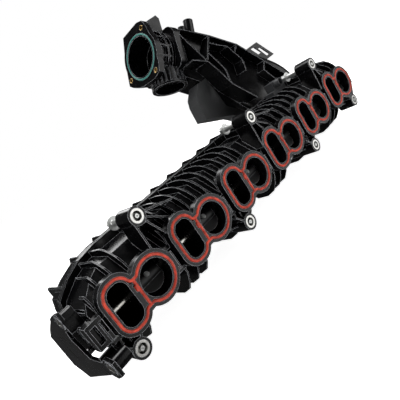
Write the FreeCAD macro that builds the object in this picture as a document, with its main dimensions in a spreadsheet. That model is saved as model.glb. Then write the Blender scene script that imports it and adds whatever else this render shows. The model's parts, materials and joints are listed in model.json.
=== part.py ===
import FreeCAD, Part
import math
import os
import Sketcher

# Intake manifold of a diesel inline-six. +X runs along the engine from the flap actuator's end, -Y points into
# the cylinder head, +Z is up. The origin lies on the head's face, in the middle of the row of ports.

doc = FreeCAD.newDocument("intake_manifold")
vector = FreeCAD.Vector

SIZES = [
    ("pitch", 91.0, "cylinder spacing, from one port pair to the next"),
    ("wall", 3.0, "moulded wall of shells and runners"),
    ("seam_y", 65.0, "weld plane between the front and the rear shell"),
    ("seam_top", 48.0, "upper edge of the weld flange"),
    ("seam_low", -44.0, "lower edge of the weld flange"),
    ("lip", 4.0, "height and thickness of the weld flange"),
    ("end_curve", 61.0, "length over which the near end's top edge slopes down"),
    ("body_front", 8.0, "front edge of the ribbed skin, back from the head face"),
    ("crest_y", 29.0, "where the top ribs are highest"),
    ("crest_z", 45.5, "height of the rib crests"),
    ("rib_front_z", 20.0, "height of the ribs at their front edge"),
    ("rib_height", 9.0, "how far the ribs stand off the skin"),
    ("rib_thick", 1.8, "thickness of a stiffening rib"),
    ("keel_y", 20.0, "where the underside turns back"),
    ("keel_z", -42.0, "depth of the lower ribs below that turn"),
    ("plenum_back", 114.0, "rearmost face of the plenum"),
    ("plenum_bevel", 15.0, "bevel round the back of the plenum"),
    ("bore_r", 17.4, "round port"),
    ("bore_x", 19.7, "round port's centre from the divider"),
    ("bore_z", -1.0, "height of the round port and of the flap shaft"),
    ("slot_left", -29.3, "outer wall of the long port"),
    ("slot_right", -6.9, "inner wall of the long port"),
    ("slot_low", -18.7, "bottom of the long port"),
    ("slot_top", 22.0, "top of the long port"),
    ("slot_corner", 9.5, "corner radius of the long port"),
    ("flange_deep", 8.0, "thickness of a port flange"),
    ("bead_gap", 3.3, "port wall to the centre of the gasket bead"),
    ("bead", 3.0, "width of the gasket bead"),
    ("bead_play", 0.15, "side clearance of the bead in its groove"),
    ("groove_deep", 2.4, "depth of the gasket groove"),
    ("bead_proud", 0.8, "how far the free bead stands out of the flange"),
    ("rim", 3.4, "plastic rim outside the gasket groove"),
    ("boss_r", 9.5, "bolt boss"),
    ("boss_deep", 25.0, "length of a bolt boss and its sleeve"),
    ("upper_z", 53.0, "height of the upper bolts"),
    ("lower_z", -36.5, "height of the lower bolts"),
    ("sleeve_r", 7.0, "outside of the steel sleeve"),
    ("sleeve_bore_r", 4.75, "inside of the steel sleeve"),
    ("bolt_r", 3.5, "bolt shank"),
    ("bolt_reach", 46.0, "bolt length under its head"),
    ("bolt_back", 21.0, "how far a bolt is drawn back for storage"),
    ("bolt_flange_r", 7.6, "flange under the bolt head"),
    ("retainer_play", 0.05, "radial clearance of the bolt in its retainer"),
    ("shaft_r", 4.0, "flap shaft"),
    ("shaft_y", 18.5, "flap shaft's distance behind the head face"),
    ("shaft_play", 0.05, "radial clearance of the shaft in its bushes"),
    ("bush_r", 6.5, "outside of a bush"),
    ("bush_long", 6.0, "length of a bush"),
    ("flap_play", 0.8, "radial gap round a flap"),
    ("flap_thick", 2.0, "thickness of a flap"),
    ("flap_rest", 50.0, "tilt of the flaps at rest, from fully open"),
    ("bracket_x", 60.0, "actuator plate's distance beyond the first divider"),
    ("bracket_thick", 3.5, "thickness of the actuator plate"),
    ("throttle_x", 59.3, "centre of the throttle flange"),
    ("throttle_y", 159.4, "centre of the throttle flange"),
    ("throttle_z", 197.9, "centre of the throttle flange"),
    ("throttle_rise", 23.9, "how far the throttle flange looks up"),
    ("throttle_yaw", 5.3, "how far the throttle flange looks forward"),
    ("throttle_bore_r", 29.0, "air passage at the throttle"),
    ("seal_r", 32.0, "centre line of the throttle seal"),
    ("seal_wire", 2.6, "thickness of the throttle seal"),
    ("screw_circle_r", 40.5, "throttle screw inserts from the centre"),
    ("neck_long", 36.0, "throttle flange face to the collar"),
    ("collar_long", 12.0, "thickness of the collar"),
    ("duct_recess", 12.0, "how far the duct's front lies back behind the collar's edge"),
    ("duct_corner", 14.0, "corner radius of the duct's section"),
    ("duct_base_x", 187.5, "middle of the duct where it meets the plenum"),
    ("duct_base_wide", 130.0, "width of the duct where it meets the plenum"),
    ("duct_top_wide", 60.0, "height of the duct's section behind the collar"),
    ("duct_top_deep", 88.0, "depth of the duct's section behind the collar"),
]

# The duct's sections between the collar and the plenum: centre x, z, tilt, width, front y, rear y.
DUCT_SECTIONS = [
    (127.0, 165.0, 42.0, 80.0, 127.0, 196.0),
    (152.7, 132.0, 23.0, 92.0, 114.0, 178.0),
    (171.2, 97.8, 12.0, 110.0, 96.0, 150.0),
]
SECTION_PARTS = ("x", "z", "tilt", "wide", "front", "rear")
for station, numbers in enumerate(DUCT_SECTIONS, 1):
    for part, number in zip(SECTION_PARTS, numbers):
        SIZES.append(("duct_%s_%d" % (part, station), number, "duct section %d, %s" % (station, part)))

sheet = doc.addObject("Spreadsheet::Sheet", "Sizes")
for row, (alias, number, note) in enumerate(SIZES, 1):
    sheet.set("A%d" % row, alias)
    sheet.set("B%d" % row, str(number))
    sheet.set("C%d" % row, note)
    sheet.setAlias("B%d" % row, alias)
doc.recompute()


class Size:
    """A length or angle worked out from the sheet: its expression, and the number that it gives."""

    def __init__(self, text, number):
        self.text = text
        self.number = number

    def joined(self, sign, other, number):
        return Size("(%s %s %s)" % (self.text, sign, text_of(other)), number)

    def __add__(self, other):
        return self.joined("+", other, self.number + number_of(other))

    def __sub__(self, other):
        return self.joined("-", other, self.number - number_of(other))

    def __mul__(self, other):
        return self.joined("*", other, self.number * number_of(other))

    def __truediv__(self, other):
        return self.joined("/", other, self.number / number_of(other))

    def __neg__(self):
        return Size("(-1 * %s)" % self.text, -self.number)

    def __radd__(self, other):
        return self + other

    def __rsub__(self, other):
        return -self + other

    def __rmul__(self, other):
        return self * other


def text_of(value):
    return value.text if isinstance(value, Size) else "%.6g" % value


def number_of(value):
    return value.number if isinstance(value, Size) else float(value)


def smaller(first, second):
    return Size("min(%s; %s)" % (text_of(first), text_of(second)), min(number_of(first), number_of(second)))


def root(value):
    return Size("sqrt(%s)" % text_of(value), math.sqrt(number_of(value)))


def sine(angle):
    return Size("sin(%s)" % text_of(angle), math.sin(math.radians(number_of(angle))))


def cosine(angle):
    return Size("cos(%s)" % text_of(angle), math.cos(math.radians(number_of(angle))))


def bearing(rise, run):
    """The angle of a slope, in degrees."""
    slope = math.degrees(math.atan2(number_of(rise), number_of(run)))
    return Size("atan2(%s; %s)" % (text_of(rise), text_of(run)), slope)


class Sheet:
    """Every row of the sheet as a Size, under its own name."""


dim = Sheet()
for alias, number, note in SIZES:
    setattr(dim, alias, Size("Sizes." + alias, float(number)))


def bind(item, **values):
    """Set properties of an object, tied to the sheet wherever the value comes from it."""
    for name, value in values.items():
        setattr(item, name, number_of(value))
        if isinstance(value, Size):
            item.setExpression(name, value.text)
    return item


def place(item, x=0, y=0, z=0, turn=None):
    """Put an object somewhere, tied to the sheet. turn is a FreeCAD rotation."""
    spot = vector(number_of(x), number_of(y), number_of(z))
    item.Placement = FreeCAD.Placement(spot, turn or FreeCAD.Rotation())
    for axis, value in zip("xyz", (x, y, z)):
        if isinstance(value, Size):
            item.setExpression("Placement.Base." + axis, value.text)
    return item


ALONG_X = FreeCAD.Rotation(vector(0, 1, 0), 90)
ALONG_Y = FreeCAD.Rotation(vector(1, 0, 0), -90)
SIDE_VIEW = FreeCAD.Rotation(vector(1, 1, 1), 120)      # sketch x, y lie along Y, Z
FRONT_VIEW = FreeCAD.Rotation(vector(1, 0, 0), 90)      # sketch x, y lie along X, Z


def box(name, x, y, z, long, deep, high):
    item = doc.addObject("Part::Box", name)
    bind(item, Length=long, Width=deep, Height=high)
    return place(item, x, y, z)


def rod(name, x, y, z, radius, long, turn=ALONG_Y):
    """A round bar from a point along Y, unless turned otherwise."""
    item = doc.addObject("Part::Cylinder", name)
    bind(item, Radius=radius, Height=long)
    return place(item, x, y, z, turn)


def fuse(name, items):
    item = doc.addObject("Part::MultiFuse", name)
    item.Shapes = items
    return item


def group(name, items):
    """Pieces kept side by side as one object, with a place of its own."""
    item = doc.addObject("Part::Compound", name)
    item.Links = items
    return item


def cut(name, base, tools):
    item = doc.addObject("Part::Cut", name)
    item.Base = base
    item.Tool = tools[0] if len(tools) == 1 else fuse(name + "_cutters", tools)
    return item


def common(name, items):
    item = doc.addObject("Part::MultiCommon", name)
    item.Shapes = items
    return item


def tie(sketch, kind, geometry, point, value, label):
    """Hold one point of a sketch at a distance from the sketch's origin."""
    sketch.addConstraint(Sketcher.Constraint(kind, -1, 1, geometry, point, number_of(value)))
    if isinstance(value, Size):
        sketch.renameConstraint(sketch.ConstraintCount - 1, label)
        sketch.setExpression("Constraints." + label, value.text)


def outline(sketch, corners):
    """Draw a closed polygon, each corner tied to the sheet."""
    count = len(corners)
    spots = [vector(number_of(x), number_of(y), 0) for x, y in corners]
    for k in range(count):
        sketch.addGeometry(Part.LineSegment(spots[k], spots[(k + 1) % count]), False)
    for k in range(count):
        sketch.addConstraint(Sketcher.Constraint("Coincident", k, 2, (k + 1) % count, 1))
    for k, (x, y) in enumerate(corners):
        tie(sketch, "DistanceX", k, 1, x, "x%d" % k)
        tie(sketch, "DistanceY", k, 1, y, "y%d" % k)
    return sketch


def drawing(name, corners, turn, x=0, y=0, z=0):
    sketch = doc.addObject("Sketcher::SketchObject", name)
    outline(sketch, corners)
    return place(sketch, x, y, z, turn)


def extrude(name, sketch, direction, long):
    item = doc.addObject("Part::Extrusion", name)
    item.Base = sketch
    item.DirMode = "Custom"
    item.Dir = direction
    item.Solid = True
    return bind(item, LengthFwd=long)


def side_plate(name, corners, x, thick):
    """A plate across the manifold: corners are (y, z), thickness along +X from x."""
    sketch = drawing(name + "_outline", corners, SIDE_VIEW, x=x)
    return extrude(name, sketch, vector(1, 0, 0), thick)


def front_plate(name, corners, y, thick):
    """A plate facing the head: corners are (x, z), thickness along +Y from y."""
    sketch = drawing(name + "_outline", corners, FRONT_VIEW, y=y)
    return extrude(name, sketch, vector(0, 1, 0), thick)


def web(name, start, end, y, deep, thick):
    """A straight rib between two points (x, z), standing from y towards +Y."""
    run = end[0] - start[0]
    rise = end[1] - start[1]
    long = root(run * run + rise * rise)
    slope = bearing(rise, run)
    item = doc.addObject("Part::Box", name)
    bind(item, Length=long, Width=deep, Height=thick)
    place(item, start[0], y, start[1], FreeCAD.Rotation(vector(0, -1, 0), slope.number))
    item.setExpression("Placement.Rotation.Angle", slope.text)
    return item


def ribbon(name, points, y, deep, thick):
    """A rib of even thickness along points (x, z), standing from y towards +Y."""
    left, right = [], []
    for k, (x, z) in enumerate(points):
        before = points[max(k - 1, 0)]
        after = points[min(k + 1, len(points) - 1)]
        first = math.atan2(z - before[1], x - before[0]) if k else math.atan2(after[1] - z, after[0] - x)
        last = math.atan2(after[1] - z, after[0] - x) if after != (x, z) else first
        middle = (first + last) / 2
        half = thick / 2 / math.cos((last - first) / 2)
        left.append((x - half * math.sin(middle), z + half * math.cos(middle)))
        right.append((x + half * math.sin(middle), z - half * math.cos(middle)))
    return front_plate(name, left + right[::-1], y, deep)


def rounded_rectangle(sketch, left, right, low, top, radius):
    """Four sides and four equal corner arcs, tied to the sheet by its sides and radius."""
    x0, x1, y0, y1, r = (number_of(v) for v in (left, right, low, top, radius))
    corner = [(x0 + r, y0 + r, 180), (x1 - r, y0 + r, 270), (x1 - r, y1 - r, 0), (x0 + r, y1 - r, 90)]
    ends = [((x0 + r, y0), (x1 - r, y0)), ((x1, y0 + r), (x1, y1 - r)),
            ((x1 - r, y1), (x0 + r, y1)), ((x0, y1 - r), (x0, y0 + r))]
    for (ax, ay), (bx, by) in ends:
        sketch.addGeometry(Part.LineSegment(vector(ax, ay, 0), vector(bx, by, 0)), False)
    for cx, cy, start in corner:
        circle = Part.Circle(vector(cx, cy, 0), vector(0, 0, 1), r)
        arc = Part.ArcOfCircle(circle, math.radians(start), math.radians(start + 90))
        sketch.addGeometry(arc, False)
    for k in range(4):
        sketch.addConstraint(Sketcher.Constraint("Tangent", 4 + k, 2, k, 1))
        sketch.addConstraint(Sketcher.Constraint("Tangent", 4 + k, 1, (k + 3) % 4, 2))
    for k in range(3):
        sketch.addConstraint(Sketcher.Constraint("Equal", 4, 5 + k))
    for k in range(4):
        sketch.addConstraint(Sketcher.Constraint("Vertical" if k % 2 else "Horizontal", k))
    tie(sketch, "DistanceY", 0, 1, low, "low")
    tie(sketch, "DistanceX", 1, 1, right, "right")
    tie(sketch, "DistanceY", 2, 1, top, "top")
    tie(sketch, "DistanceX", 3, 1, left, "left")
    sketch.addConstraint(Sketcher.Constraint("Radius", 4, r))
    if isinstance(radius, Size):
        sketch.renameConstraint(sketch.ConstraintCount - 1, "corner")
        sketch.setExpression("Constraints.corner", radius.text)
    return sketch


def revolved(name, profile, turn=None, x=0, y=0, z=0):
    """A turned body: the profile's points are (radius, place along the axis), and the axis is local Z."""
    body = doc.addObject("PartDesign::Body", name)
    sketch = body.newObject("Sketcher::SketchObject", name + "_profile")
    plane = [item for item in body.Origin.OriginFeatures if item.Role == "XZ_Plane"][0]
    sketch.AttachmentSupport = [(plane, "")]
    sketch.MapMode = "FlatFace"
    outline(sketch, profile)
    turned = body.newObject("PartDesign::Revolution", name + "_turned")
    turned.Profile = sketch
    turned.ReferenceAxis = (sketch, ["V_Axis"])
    turned.Angle = 360
    body.Tip = turned
    return place(body, x, y, z, turn)


nodes = []


def node(name, item):
    """Name a finished piece. Its label is also its file's name."""
    item.Label = name
    nodes.append(item)
    return item


def piece(name):
    """A finished piece, by its name."""
    return [item for item in nodes if item.Label == name][0]


# ---------------------------------------------------------------------------------------------
# Front shell: one moulding, in six lengths that meet in the middle of the gaps between ports.
# ---------------------------------------------------------------------------------------------

PORTS = 6
row_end = dim.pitch * (PORTS / 2) + 1
outer_skin_y = dim.seam_y - dim.lip
rib_root = dim.rib_height + 1

top_skin = [
    (dim.body_front, dim.rib_front_z - dim.rib_height),
    (dim.crest_y, dim.crest_z - dim.rib_height),
    (outer_skin_y, dim.seam_top - dim.rib_height),
]
low_skin = [
    (outer_skin_y, dim.seam_low + 4),
    (dim.keel_y + 30, dim.keel_z + 6),
    (dim.keel_y, dim.keel_z + 18),
    (dim.body_front, dim.keel_z + 23),
]
top_rib = [
    (dim.body_front, dim.rib_front_z),
    (dim.body_front + 3, dim.rib_front_z + 7),
    (dim.crest_y - 13, dim.crest_z - 12),
    (dim.crest_y - 7, dim.crest_z - 7),
    (dim.crest_y, dim.crest_z - 3),
    (dim.crest_y + 8, dim.crest_z - 0.7),
    (dim.crest_y + 17, dim.crest_z + 0.3),
    (outer_skin_y + 1, dim.seam_top - 1),
    (outer_skin_y + 1, dim.seam_top - rib_root),
    (dim.crest_y, dim.crest_z - rib_root),
    (dim.body_front, dim.rib_front_z - rib_root),
]
low_rib_root = [
    (outer_skin_y + 1, dim.seam_low + 1),
    (outer_skin_y + 1, dim.seam_low + 6),
    (dim.keel_y + 30, dim.keel_z + 8),
    (dim.keel_y, dim.keel_z + 20),
    (dim.body_front, dim.keel_z + 25),
]
# Under a long port the ribs hang low and round; under a round port they are shallow.
deep_rib = [
    (dim.body_front, dim.keel_z + 18),
    (dim.keel_y - 5, dim.keel_z + 6),
    (dim.keel_y + 3, dim.keel_z - 3),
    (dim.keel_y + 16, dim.keel_z - 8),
    (dim.keel_y + 34, dim.keel_z - 8),
] + low_rib_root
shallow_rib = [
    (dim.body_front, dim.keel_z + 21),
    (dim.keel_y - 5, dim.keel_z + 16),
    (dim.keel_y + 2, dim.keel_z + 12),
    (dim.keel_y + 30, dim.keel_z + 2),
] + low_rib_root
LOW_RIB_DROP = 8


def channel_corners():
    """The ribbed skin, the seam wall with its weld flange, and the lower skin, as one open channel."""
    inside_top = [(y + 0.6, z - dim.wall) for y, z in top_skin]
    inside_low = [(y, z + dim.wall) for y, z in low_skin]
    inside_top[0] = (dim.body_front, dim.rib_front_z - dim.rib_height - dim.wall * 1.4)
    inside_top[2] = (outer_skin_y, dim.seam_top - dim.rib_height - dim.wall)
    flange = [(outer_skin_y, dim.seam_top), (dim.seam_y, dim.seam_top),
              (dim.seam_y, dim.seam_low), (outer_skin_y, dim.seam_low)]
    return top_skin + flange + low_skin + inside_low[::-1] + inside_top[::-1]


def web_corners():
    """A full cross wall of the channel, from its skin to its skin."""
    land = [(dim.body_front, dim.bore_z - 14), (0, dim.bore_z - 12), (0, dim.bore_z + 8), (dim.body_front, dim.bore_z + 9)]
    return top_skin + low_skin + land


def end_outline(grow):
    """The seam seen from the head, with the near end's long sloping shoulder. grow moves it outwards."""
    shoulder = dim.end_curve
    top = dim.seam_top + grow
    low = dim.seam_low - grow
    near = -row_end - grow
    far = row_end + grow
    return [
        (near, dim.seam_top - 34),
        (near + 4, dim.seam_top - 21 + grow * 0.4),
        (near + shoulder * 0.35, dim.seam_top - 10 + grow * 0.8),
        (near + shoulder * 0.66, dim.seam_top - 3 + grow),
        (near + shoulder, top),
        (far - 28, top),
        (far - 9, dim.seam_top - 6 + grow * 0.7),
        (far, dim.seam_top - 20),
        (far, dim.seam_low + 24),
        (far - 11, dim.seam_low + 9 - grow * 0.7),
        (far - 34, low),
        (near + 34, low),
        (near + 11, dim.seam_low + 9 - grow * 0.7),
        (near, dim.seam_low + 24),
    ]


def shell_trim(inset, drop, spread):
    """The end outline with its shoulder and top moved in, its low edge down and its ends out."""
    shoulder = dim.end_curve
    top = dim.seam_top - inset
    low = dim.seam_low - drop - spread
    near = -row_end - spread
    far = row_end + spread
    return [
        (near, dim.seam_top - 34),
        (near + 4 + spread + inset * 0.6, dim.seam_top - 21 - inset * 0.6),
        (near + spread + shoulder * 0.35 + inset * 0.6, dim.seam_top - 10 - inset * 0.8),
        (near + spread + shoulder * 0.66 + inset * 0.4, dim.seam_top - 3 - inset),
        (near + spread + shoulder, top),
        (far - 28, top),
        (far - 9, top - 6),
        (far, dim.seam_top - 20),
        (far, dim.seam_low + 24),
        (far - 11, dim.seam_low + 9 - drop / 2),
        (far - 34, low),
        (near + 34, low),
        (near + 11, dim.seam_low + 9 - drop / 2),
        (near, dim.seam_low + 24),
    ]


def port_edge(name, centre, grow, y, deep, slot_only=False):
    """The outline of one pair of ports, grown all round by the same amount, as a solid along Y."""
    slot = doc.addObject("Sketcher::SketchObject", name + "_slot_outline")
    rounded_rectangle(slot, dim.slot_left - grow, dim.slot_right + grow, dim.slot_low - grow, dim.slot_top + grow,
                      dim.slot_corner + grow)
    place(slot, centre, y, 0, FRONT_VIEW)
    parts = [extrude(name + "_slot", slot, vector(0, 1, 0), deep)]
    parts.append(rod(name + "_round", centre + dim.bore_x, y, dim.bore_z, dim.bore_r + grow, deep))
    return parts


def port_rim(name, centre, grow, y, deep):
    """The same outline with its waist filled in, as the gasket runs round both ports."""
    parts = port_edge(name, centre, grow, y, deep)
    half_waist = dim.bore_r - 6.6 + grow
    waist_x = centre + dim.slot_right - 6
    parts.append(box(name + "_waist", waist_x, y, dim.bore_z - half_waist, dim.bore_x + 4, deep, half_waist * 2))
    return fuse(name, parts)


def bead_ring(name, centre, half, y, deep):
    """The gasket's path round both ports and straight down between them, with its locating tab."""
    outer = port_rim(name + "_outer", centre, dim.bead_gap + half, y, deep)
    inner = port_rim(name + "_inner", centre, dim.bead_gap - half, y - 1, deep + 2)
    waist = dim.bore_r - 6.6 + dim.bead_gap
    strip = box(name + "_strip", centre - half, y, dim.bore_z - waist, half * 2, deep, waist * 2)
    tab = box(name + "_tab", centre - half - 2, y, dim.bore_z + 3, half + 2, deep, 5.5 + half)
    return fuse(name, [cut(name + "_ring", outer, [inner]), strip, tab])


# Ribs that hold a bolt boss: each runs from dx beside its centre to a point (dx, dz) away, from y on, this deep.
UPPER_WEBS = [
    (-8, -9, -38, 0, 1.0),
    (0, 46, -12, 7, 0.72),
    (0, 33, -24, 10, 0.6),
    (0, 17, -34, 3, 0.8),
]
LOWER_WEBS = [
    (0, -14, 16, 0, 0.9),
    (0, 14, 18, 0, 0.9),
    (0, 0, 17, 6, 0.7),
    (0, -27, 9, 12, 0.5),
    (0, 24, 9, 14, 0.4),
]
UPPER_BOLTS = [-187.5, 15.5, 191.5]
LOWER_BOLTS = [-257.5, -76.5, 102.5, 252.5]
BOSSES = [("upper_%d" % (k + 1), x / 91.0, dim.upper_z, UPPER_WEBS) for k, x in enumerate(UPPER_BOLTS)]
BOSSES += [("lower_%d" % (k + 1), x / 91.0, dim.lower_z, LOWER_WEBS) for k, x in enumerate(LOWER_BOLTS)]


def boss(name, x, z, webs):
    parts = [rod(name + "_boss", x, 0, z, dim.boss_r, dim.boss_deep)]
    for k, (start, dx, dz, y, share) in enumerate(webs):
        rib = web("%s_web_%d" % (name, k + 1), (x + start, z), (x + dx, z + dz), y, dim.boss_deep * share, dim.rib_thick)
        parts.append(rib)
    return parts


RIBS_PER_PORT = 6
all_bosses = {}
for name, pitches, z, webs in BOSSES:
    all_bosses[name] = boss(name, dim.pitch * pitches, z, webs)

# The skin stops short of the near end's shoulder, where a curved wall closes it; the ribs run on to the rim.
SHOULDER_INSET = 7
rim_outline = front_plate("rim_outline", end_outline(0), outer_skin_y, dim.lip)
skin_limit = fuse("skin_limit", [front_plate("skin_outline", shell_trim(SHOULDER_INSET, 0, 0), -1, outer_skin_y + 1),
                                 rim_outline])
rib_limit = fuse("front_rib_limit", [front_plate("rib_outline", shell_trim(2, LOW_RIB_DROP, 0), -1, outer_skin_y + 1),
                                     rim_outline])
shoulder_blank = front_plate("shoulder_blank", shell_trim(SHOULDER_INSET, 0, 0), 0, outer_skin_y + 1)
shoulder_core = front_plate("shoulder_core", shell_trim(SHOULDER_INSET + dim.wall, 0, 5), -1, outer_skin_y + 3)
shoulder_reach = side_plate("shoulder_reach", web_corners(), -row_end - 1, dim.end_curve + 6)
shoulder_wall = common("shoulder_wall", [cut("shoulder_ring", shoulder_blank, [shoulder_core]), shoulder_reach])
BARE_BESIDE_BOSS = 0.35

for number in range(PORTS):
    tag = "runner_%d" % (number + 1)
    centre = dim.pitch * (number - 2.5)
    left = centre - dim.pitch / 2
    skin = [side_plate(tag + "_channel", channel_corners(), left, dim.pitch)]
    for side, x in (("near", left), ("far", left + dim.pitch - dim.wall / 2)):
        skin.append(side_plate("%s_wall_%s" % (tag, side), web_corners(), x, dim.wall / 2))
    ribs = []
    for k in range(RIBS_PER_PORT):
        along = (k + 0.5) / RIBS_PER_PORT
        x = left + dim.pitch * along - dim.rib_thick / 2
        from_bosses = [number - PORTS / 2 + along - pitches for name, pitches, z, webs in BOSSES if z.number > 0]
        if not any(-BARE_BESIDE_BOSS < away < 0.05 for away in from_bosses):
            ribs.append(side_plate("%s_top_rib_%d" % (tag, k + 1), top_rib, x, dim.rib_thick))
        low_rib = deep_rib if along < 0.5 else shallow_rib
        ribs.append(side_plate("%s_low_rib_%d" % (tag, k + 1), low_rib, x, dim.rib_thick))
    trimmed = common(tag + "_skin", [fuse(tag + "_skin_all", skin), skin_limit])
    ribs_trimmed = common(tag + "_ribs", [fuse(tag + "_ribs_all", ribs), rib_limit])

    slab = box(tag + "_length", left, -5, -100, dim.pitch, 100, 200)
    near_bosses = []
    for name, pitches, z, webs in BOSSES:
        if abs(pitches - (number - 2.5)) < 1.1:
            near_bosses += all_bosses[name]
    pieces = [trimmed, ribs_trimmed]
    if number == 0:
        pieces.append(shoulder_wall)
    if near_bosses:
        pieces.append(common(tag + "_bosses", [fuse(tag + "_bosses_all", near_bosses), slab]))
    pieces += port_edge(tag + "_tube", centre, dim.wall, 0, dim.seam_y)
    pieces.append(port_rim(tag + "_flange", centre, dim.bead_gap + dim.bead / 2 + dim.rim, 0, dim.flange_deep))
    solid = fuse(tag + "_solid", pieces)

    cutters = port_edge(tag + "_bore", centre, 0, -1, dim.seam_y + 2)
    cutters.append(rod(tag + "_shaft_way", left - 1, dim.shaft_y, dim.bore_z, dim.shaft_r + 0.6, dim.pitch + 2, ALONG_X))
    for side, x in (("near", left - 1), ("far", left + dim.pitch - dim.bush_long)):
        cutters.append(rod("%s_bush_way_%s" % (tag, side), x, dim.shaft_y, dim.bore_z, dim.bush_r,
                           dim.bush_long + 1, ALONG_X))
    cutters.append(bead_ring(tag + "_groove", centre, dim.bead / 2 + dim.bead_play, -1, dim.groove_deep + 1))
    for name, pitches, z, webs in BOSSES:
        if abs(pitches - (number - 2.5)) < 0.6:
            cutters.append(rod(name + "_sleeve_way", dim.pitch * pitches, -1, z, dim.sleeve_r, dim.boss_deep + 2))
            cutters.append(rod(name + "_head_way", dim.pitch * pitches, dim.boss_deep, z, dim.bolt_flange_r + 1,
                               outer_skin_y - dim.boss_deep - 1))
    node(tag, cut(tag + "_cut", solid, cutters))

    bead = bead_ring("bead_%d" % (number + 1), centre, dim.bead / 2, -dim.bead_proud, dim.groove_deep + dim.bead_proud)
    node("port_gasket_%d" % (number + 1), bead)


# ---------------------------------------------------------------------------------------------
# Rear shell: a ribbed tray, welded to the front shell at the seam.
# ---------------------------------------------------------------------------------------------

def loft(name, sections, ruled=False):
    item = doc.addObject("Part::Loft", name)
    item.Sections = sections
    item.Solid = True
    item.Ruled = ruled
    return item


def tray(name, inset, start, bevel_start, back):
    """A block behind the seam whose back edges are bevelled all round."""
    stations = [(start, inset), (bevel_start, inset), (back, inset + dim.plenum_bevel * 0.8)]
    sections = []
    for k, (y, shrink) in enumerate(stations):
        sections.append(drawing("%s_section_%d" % (name, k + 1), end_outline(-shrink), FRONT_VIEW, y=y))
    return loft(name, sections, ruled=True)


step = dim.lip + 0.5
tray_top = dim.seam_top - step
bevel_y = dim.plenum_back - dim.plenum_bevel
duct_front_y = dim.seam_y + dim.lip + 0.2
duct_rear_y = bevel_y - 0.5


def duct_section(name, x, z, tilt, wide, front, rear, inset):
    sketch = doc.addObject("Sketcher::SketchObject", name)
    half = wide / 2 - inset
    corner = smaller(dim.duct_corner, (rear - front) / 2 - 1)
    rounded_rectangle(sketch, -half, half, front + inset, rear - inset, corner - inset)
    place(sketch, x, 0, z, FreeCAD.Rotation(vector(0, -1, 0), number_of(tilt)))
    if isinstance(tilt, Size):
        sketch.setExpression("Placement.Rotation.Angle", tilt.text)
    return sketch


neck_depth = dim.neck_long + dim.collar_long / 2
neck_out = (-cosine(dim.throttle_rise) * cosine(dim.throttle_yaw), -cosine(dim.throttle_rise) * sine(dim.throttle_yaw),
            sine(dim.throttle_rise))
duct_start = [place_at - out * neck_depth for place_at, out in
              zip((dim.throttle_x, dim.throttle_y, dim.throttle_z), neck_out)]


def duct_form(name, inset):
    """The duct from the collar down to the plenum's top, as a solid."""
    top_half = dim.duct_top_deep / 2
    sections = [duct_section(name + "_top", duct_start[0], duct_start[2], 90 - dim.throttle_rise, dim.duct_top_wide,
                             duct_start[1] - top_half + dim.duct_recess, duct_start[1] + top_half, inset)]
    for k in range(1, len(DUCT_SECTIONS) + 1):
        values = [getattr(dim, "duct_%s_%d" % (part, k)) for part in SECTION_PARTS]
        sections.append(duct_section("%s_%d" % (name, k), *values, inset))
    sections.append(duct_section(name + "_base", dim.duct_base_x, tray_top, 0, dim.duct_base_wide, duct_front_y,
                                 duct_rear_y, inset))
    return loft(name, sections)


duct_outer = duct_form("duct_outer", 0)
duct_inner = duct_form("duct_inner", dim.wall)

weld_flange = front_plate("plenum_flange", end_outline(0), dim.seam_y, dim.lip)
tray_outer = tray("plenum_outer", step, dim.seam_y, bevel_y, dim.plenum_back)
tray_inner = tray("plenum_inner", step + dim.wall, dim.seam_y - 1, bevel_y - 1, dim.plenum_back - dim.wall)
rib_limit = front_plate("plenum_rib_limit", end_outline(-1), dim.seam_y, dim.plenum_back)
plenum_ribs = []
PLENUM_RIBS = 17
rib_profile = [
    (dim.seam_y, dim.seam_top - 1),
    (bevel_y, dim.seam_top - 1),
    (dim.plenum_back + 3, dim.seam_top - 17),
    (dim.plenum_back + 3, dim.seam_low + 17),
    (bevel_y, dim.seam_low + 1),
    (dim.seam_y, dim.seam_low + 1),
]
for k in range(PLENUM_RIBS):
    x = row_end * (2 * (k + 0.5) / PLENUM_RIBS - 1) - dim.rib_thick / 2
    plenum_ribs.append(side_plate("plenum_rib_%d" % (k + 1), rib_profile, x, dim.rib_thick))
for k, z in enumerate((22.0, -4.0, -30.0)):
    rail = box("plenum_rail_%d" % (k + 1), -row_end + 20, bevel_y, z, row_end * 2 - 40, dim.plenum_bevel + 3,
               dim.rib_thick)
    plenum_ribs.append(rail)
rib_cage = cut("plenum_cage", common("plenum_cage_trimmed", [fuse("plenum_cage_all", plenum_ribs), rib_limit]),
               [duct_outer])
duct_mouth = box("plenum_mouth", dim.duct_base_x - dim.duct_base_wide / 2 + 8, duct_front_y + dim.wall, 0,
                 dim.duct_base_wide - 16, duct_rear_y - duct_front_y - dim.wall * 2, dim.seam_top)
node("plenum_shell", cut("plenum", fuse("plenum_solid", [weld_flange, tray_outer, rib_cage]),
                         [tray_inner, duct_mouth]))

# ---------------------------------------------------------------------------------------------
# Throttle neck, its seal and inserts, in the flange's own frame: z outwards, y up the flange.
# ---------------------------------------------------------------------------------------------

rise = math.radians(dim.throttle_rise.number)
yaw = math.radians(dim.throttle_yaw.number)
flange_out = vector(-math.cos(rise) * math.cos(yaw), -math.cos(rise) * math.sin(yaw), math.sin(rise))
flange_side = vector(math.sin(yaw), -math.cos(yaw), 0)
flange_turn = FreeCAD.Rotation(flange_side, flange_out.cross(flange_side), flange_out, "ZXY")
UPRIGHT = FreeCAD.Rotation()


def on_flange(item):
    return place(item, dim.throttle_x, dim.throttle_y, dim.throttle_z, flange_turn)


def polar(radius, angle):
    return radius * math.cos(math.radians(angle)), radius * math.sin(math.radians(angle))


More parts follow.
